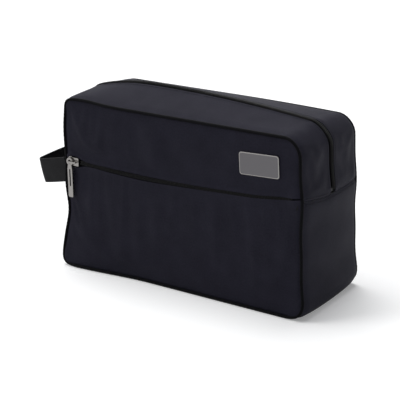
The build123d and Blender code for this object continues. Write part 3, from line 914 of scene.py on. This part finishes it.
# The coil's near-black colour is partly its own black nylon, partly painted shade of the zip groove it lies
# in.
coil_shader.inputs["Base Color"].default_value = (0.004, 0.004, 0.0045, 1)
coil_shader.inputs["Specular IOR Level"].default_value = 0.2
coil_noise = coil_nodes.new("ShaderNodeTexNoise")
coil_noise.inputs["Scale"].default_value = 900
uneven_gloss(coil_nodes, coil_links, coil_noise.outputs["Fac"], coil_shader, 0.30, 0.46)
coil_pitch = 1.5
coil_turn_steps = 8
coil_reach = 1.55
coil_centre = 1.05
coil_rise = 0.8
coil_wire = 0.36
main_coil_inset = 0.2
pocket_coil_y = -48.9
pocket_coil_narrower = 0.75


def coil_points(start, end, side, place):
    """The crisp points of one coil half. place(distance, across, rise) puts a point on its zip."""
    length = abs(end - start)
    turns = int(length / coil_pitch)
    points = []
    for step in range(turns * coil_turn_steps + 1):
        angle = 2 * math.pi * step / coil_turn_steps
        distance = start + (end - start) * step / (turns * coil_turn_steps)
        if side > 0:
            angle += math.pi
            distance += 0.25 * coil_pitch
        across = side * coil_centre + coil_reach * math.cos(angle)
        points.append(place(distance, across, coil_rise * math.sin(angle)))
    return points


def main_place(distance, across, rise):
    """A point on the main zip."""
    x, z, nx, nz = outline_at(distance, main_coil_inset - rise)
    return x, across, z


def pocket_place(distance, across, rise):
    """A point on the pocket zip."""
    return distance, pocket_coil_y - rise, seam_height + across * pocket_coil_narrower


main_teeth_run = seam_run - 4.6
pocket_teeth_ends = (-110, 121)
for side, face in sides:
    for hand, end in hands:
        coil = tube_along(
            "main_coil_%s_%s" % (face, end),
            eased(coil_points(0, hand * main_teeth_run, side, main_place)),
            coil_wire * mm, coil_nylon_painted_shade, sides_around=5)
        outward_faces(coil)
        blend_to_flap(
            coil, hand, face, "zip_coil", "main_zip_teeth_" + face, "main_zip_teeth_ends_" + face)
for side, name in ((1, "upper"), (-1, "lower")):
    coil = tube_along(
        "pocket_coil_" + name, eased(coil_points(*pocket_teeth_ends, side, pocket_place), front=True),
        coil_wire * mm, coil_nylon_painted_shade, sides_around=5)
    outward_faces(coil)
    fixed_to_bag(coil, "zip_coil", "pocket_zip_teeth_" + name)

# Zip sliders, pullers and stops: die-cast zinc, polished and nickel plated, and the stops black. The
# sliders ride over the coils, and each puller turns on its slider's bridge. The CAD shapes stay.


def metal_material(name, colour, rough, grain, stretch):
    """Plated metal with fine wear in its gloss, drawn out along X where stretch is large."""
    material, nodes, links, shader = plain_material(name)
    shader.inputs["Base Color"].default_value = (*colour, 1)
    shader.inputs["Metallic"].default_value = 1.0
    place = nodes.new("ShaderNodeTexCoord")
    scaled = nodes.new("ShaderNodeMapping")
    scaled.inputs["Scale"].default_value = (1 / stretch, 1, 1)
    links.new(place.outputs["Object"], scaled.inputs["Vector"])
    noise = nodes.new("ShaderNodeTexNoise")
    noise.inputs["Scale"].default_value = grain
    noise.inputs["Detail"].default_value = 4
    links.new(scaled.outputs[0], noise.inputs["Vector"])
    uneven_gloss(nodes, links, noise.outputs["Fac"], shader, rough - 0.06, rough + 0.08)
    relief_from(nodes, links, noise.outputs["Fac"], shader, 0.12, 0.00005)
    return material


nickel = metal_material("nickel_plate", (0.26, 0.25, 0.24), 0.26, 700, 1)
brushed_steel = metal_material("brushed_steel", (0.112, 0.108, 0.114), 0.42, 2200, 30)
black_plate = metal_material("black_plate", (0.012, 0.012, 0.013), 0.38, 700, 1)
for node, finish in (
    ("pocket_slider", nickel),
    ("main_slider", nickel),
    ("pocket_puller", nickel),
    ("main_puller", nickel),
    ("pocket_zip_stops", black_plate),
    ("main_zip_stops", black_plate),
):
    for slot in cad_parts[node].material_slots:
        slot.material = finish

# Badge: a bare plate of brushed steel with a bright bevelled rim. It lies a little tilted, and is
# held by prongs through the front cloth, bent over a backing plate.
badge_tilt = math.radians(2.6)
badge_corner = 2.4
badge_stand_off = 0.75


def rounded_rectangle(half_wide, half_high, corner, steps=6):
    """Points round a rectangle with rounded corners."""
    loop = []
    for centre_x, centre_z, begin in (
        (half_wide - corner, half_high - corner, 0),
        (-half_wide + corner, half_high - corner, 90),
        (-half_wide + corner, -half_high + corner, 180),
        (half_wide - corner, -half_high + corner, 270),
    ):
        for step in range(steps + 1):
            turn = math.radians(begin + 90 * step / steps)
            loop.append((centre_x + corner * math.cos(turn), centre_z + corner * math.sin(turn)))
    return loop


cloth_behind_y = float(eased([(badge_x, front_face_y, badge_z)], front=True)[0, 1]) / mm
badge_face_y = cloth_behind_y - badge_stand_off
rings = ((0.0, 0.9), (0.0, 0.15), (0.12, 0.04), (0.55, -0.12), (0.75, -0.12), (0.9, -0.08))
badge_points = []
for shrink, depth in rings:
    half_wide = badge_half[0] - shrink
    half_high = badge_half[1] - shrink
    for u, v in rounded_rectangle(half_wide, half_high, badge_corner - shrink * 0.6):
        badge_points.append((
            badge_x + u * math.cos(badge_tilt) - v * math.sin(badge_tilt),
            badge_face_y + depth,
            badge_z + u * math.sin(badge_tilt) + v * math.cos(badge_tilt),
        ))
around = len(badge_points) // len(rings)
badge_faces = grid_faces(len(rings), around, closed=True)
badge_faces.append(tuple(range(around)))
badge_faces.append(tuple(range((len(rings) - 1) * around, len(rings) * around)))
badge_plate = mesh_piece(
    "badge_plate", np.array(badge_points) * mm, badge_faces, brushed_steel, smooth=False)
badge_plate.data.materials.append(nickel)
outward_faces(badge_plate)
for face in badge_plate.data.polygons:
    if around * 2 <= face.index < around * 4:
        face.material_index = 1
fixed_to_bag(badge_plate, "badge_metal", "badge")
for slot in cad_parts["badge_backing"].material_slots:
    slot.material = nickel

# Grab loop: flat nylon webbing sewn into both piped seams of the left side. It leaves the front seam,
# folds sharply at the corner, runs back along the side and turns in again at the back.
strap_axis = (-131.2, 0.0, 93.5)
strap_droop = math.radians(12)
strap_half = 12.4
strap_thickness = 1.5
strap_edge_round = 0.35
strap_path = (
    (-1.6, -45.6), (6, -46.0), (16, -46.2), (25, -46.0), (30, -45.2), (32.6, -42.5), (32.2, -38),
    (31.2, -24), (29.6, -4), (28.2, 14), (26.6, 28), (22.0, 36.5), (14.0, 41.5), (6.0, 44.0), (-1.6, 45.3),
)


def smooth_line(points, per_span):
    """A smooth line through the points, with per_span steps from each to the next."""
    line = []
    count = len(points)
    pts = [np.array(q, float) for q in points]
    for span in range(count - 1):
        p0 = pts[max(span - 1, 0)]
        p1 = pts[span]
        p2 = pts[span + 1]
        p3 = pts[min(span + 2, count - 1)]
        squared = 2 * p0 - 5 * p1 + 4 * p2 - p3
        cubed = 3 * p1 - p0 - 3 * p2 + p3
        for step in range(per_span):
            t = step / per_span
            line.append(0.5 * (2 * p1 + (p2 - p0) * t + squared * t ** 2 + cubed * t ** 3))
    line.append(pts[-1])
    return np.array(line)


strap_line = smooth_line(strap_path, 8)
strap_out = np.array((-math.cos(strap_droop), 0, -math.sin(strap_droop)))
strap_up = np.array((-math.sin(strap_droop), 0, math.cos(strap_droop)))
strap_points = []
strap_uvs = []
strap_rows = 24
along = 0.0
for number, (reach, y) in enumerate(strap_line):
    if number:
        along += float(np.linalg.norm(strap_line[number] - strap_line[number - 1]))
    rise = 2.0 * math.sin(math.pi * min(max((y + 46) / 92, 0), 1)) * np.clip(reach / 30, 0, 1)
    narrow = 1 - 0.04 * bump(y, -45.5, 3)
    for row in range(strap_rows + 1):
        across = (2 * row / strap_rows - 1) * strap_half * narrow
        lean = 0.045 * across * np.clip(reach / 30, 0, 1)
        bow = 0.7 * (across / strap_half) ** 2 * np.clip(reach / 20, 0, 1)
        root = np.array((strap_axis[0], y, strap_axis[2]))
        strap_points.append(root + strap_out * (reach + lean - bow) + strap_up * (across + rise))
        strap_uvs.append((along * mm, across * mm))
strap = mesh_piece(
    "grab_loop_webbing", np.array(strap_points) * mm, grid_faces(len(strap_line), strap_rows + 1),
    webbing_cloth, strap_uvs)
thick = strap.modifiers.new("thickness", "SOLIDIFY")
thick.thickness = strap_thickness * mm
thick.offset = 0
round_off = strap.modifiers.new("round", "BEVEL")
round_off.width = strap_edge_round * mm
round_off.segments = 2
round_off.limit_method = "ANGLE"
round_off.angle_limit = math.radians(50)
finished(strap)
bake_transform(strap)
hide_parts("handle_strap", "handle_anchor_front", "handle_anchor_back")

# Stitching: rows of polyester thread that hold the folds beside the zips and both cross seams. Each
# stitch is a short raised thread, thin at its ends, where it goes down through the cloth.
stitch_length = 2.3
stitch_gap = 0.8
thread_radius = 0.17
thread_sides = 5
stitch_shape = ((0, -0.25, 0.5), (0.15, 0.12, 1), (0.5, 0.25, 1), (0.85, 0.12, 1), (1, -0.25, 0.5))


def point_along(line, total, place):
    """The point at a distance along a line whose running length is total."""
    return np.array([np.interp(place, total, line[:, axis]) for axis in range(3)])


def stitches(name, line, lift, flap=None):
    """A row of stitches along a line of finished points. lift is the way off the cloth."""
    line = np.array(line, float)
    spans = np.linalg.norm(np.diff(line, axis=0), axis=1)
    total = np.concatenate(([0.0], np.cumsum(spans)))
    lift = np.broadcast_to(np.array(lift, float), line.shape)
    points = []
    faces = []
    uvs = []
    place = 0.5 * mm
    while place + stitch_length * mm < total[-1]:
        base = len(points)
        for share, height, size in stitch_shape:
            s = place + share * stitch_length * mm
            centre = point_along(line, total, s)
            off = point_along(lift, total, s)
            ahead = point_along(line, total, s + 0.3 * mm) - centre
            if np.linalg.norm(ahead) < 1e-9:
                ahead = centre - point_along(line, total, s - 0.3 * mm)
            ahead /= np.linalg.norm(ahead)
            off /= np.linalg.norm(off)
            right = np.cross(ahead, off)
            for turn in range(thread_sides):
                angle = 2 * math.pi * turn / thread_sides
                offset = right * math.cos(angle) + off * math.sin(angle)
                points.append(centre + off * height * mm + offset * thread_radius * size * mm)
                uvs.append((s, angle * thread_radius * mm))
        for quad in grid_faces(len(stitch_shape), thread_sides, closed=True):
            faces.append(tuple(base + corner for corner in quad))
        faces.append(tuple(base + k for k in reversed(range(thread_sides))))
        last = len(points) - thread_sides
        faces.append(tuple(last + k for k in range(thread_sides)))
        place += (stitch_length + stitch_gap) * mm
    row = mesh_piece(name, points, faces, thread_cotton, uvs)
    outward_faces(row)
    if flap:
        blend_to_flap(row, *flap, "binding_tape")
    else:
        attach(row, "bag")


fold_stitch_in = 2.4
main_stitch_y = 7.0
for upper, name in ((1, "upper"), (-1, "lower")):
    xs = np.linspace(-124, 124, 160)
    crisp = []
    for x in xs:
        crisp.append((x, front_face_y - 0.05, seam_height + upper * (float(zip_gap(x)) + fold_stitch_in)))
    stitches("pocket_topstitch_" + name, eased(crisp, front=True), (0, -1, 0))
for side, face in sides:
    for hand, end in hands:
        crisp = []
        lifts = []
        for step in range(200):
            x, z, nx, nz = outline_at(hand * (1 + (seam_run - 4) * step / 199), 0.0)
            crisp.append((x, side * main_stitch_y, z))
            lifts.append((nx, 0, nz))
        stitches("main_topstitch_%s_%s" % (face, end), eased(crisp), lifts, flap=(hand, face))
for hand, end in hands:
    for above in (2.6, -2.6):
        if above > 0:
            ys = np.linspace(-seam_y + 1, -6, 30)
        else:
            ys = np.linspace(-seam_y + 1, seam_y - 1, 60)
        crisp = [(hand * half_length, y, seam_height + above) for y in ys]
        label = "cross_stitch_%s_%s" % (end, "above" if above > 0 else "below")
        stitches(label, eased(crisp), (hand, 0, 0))
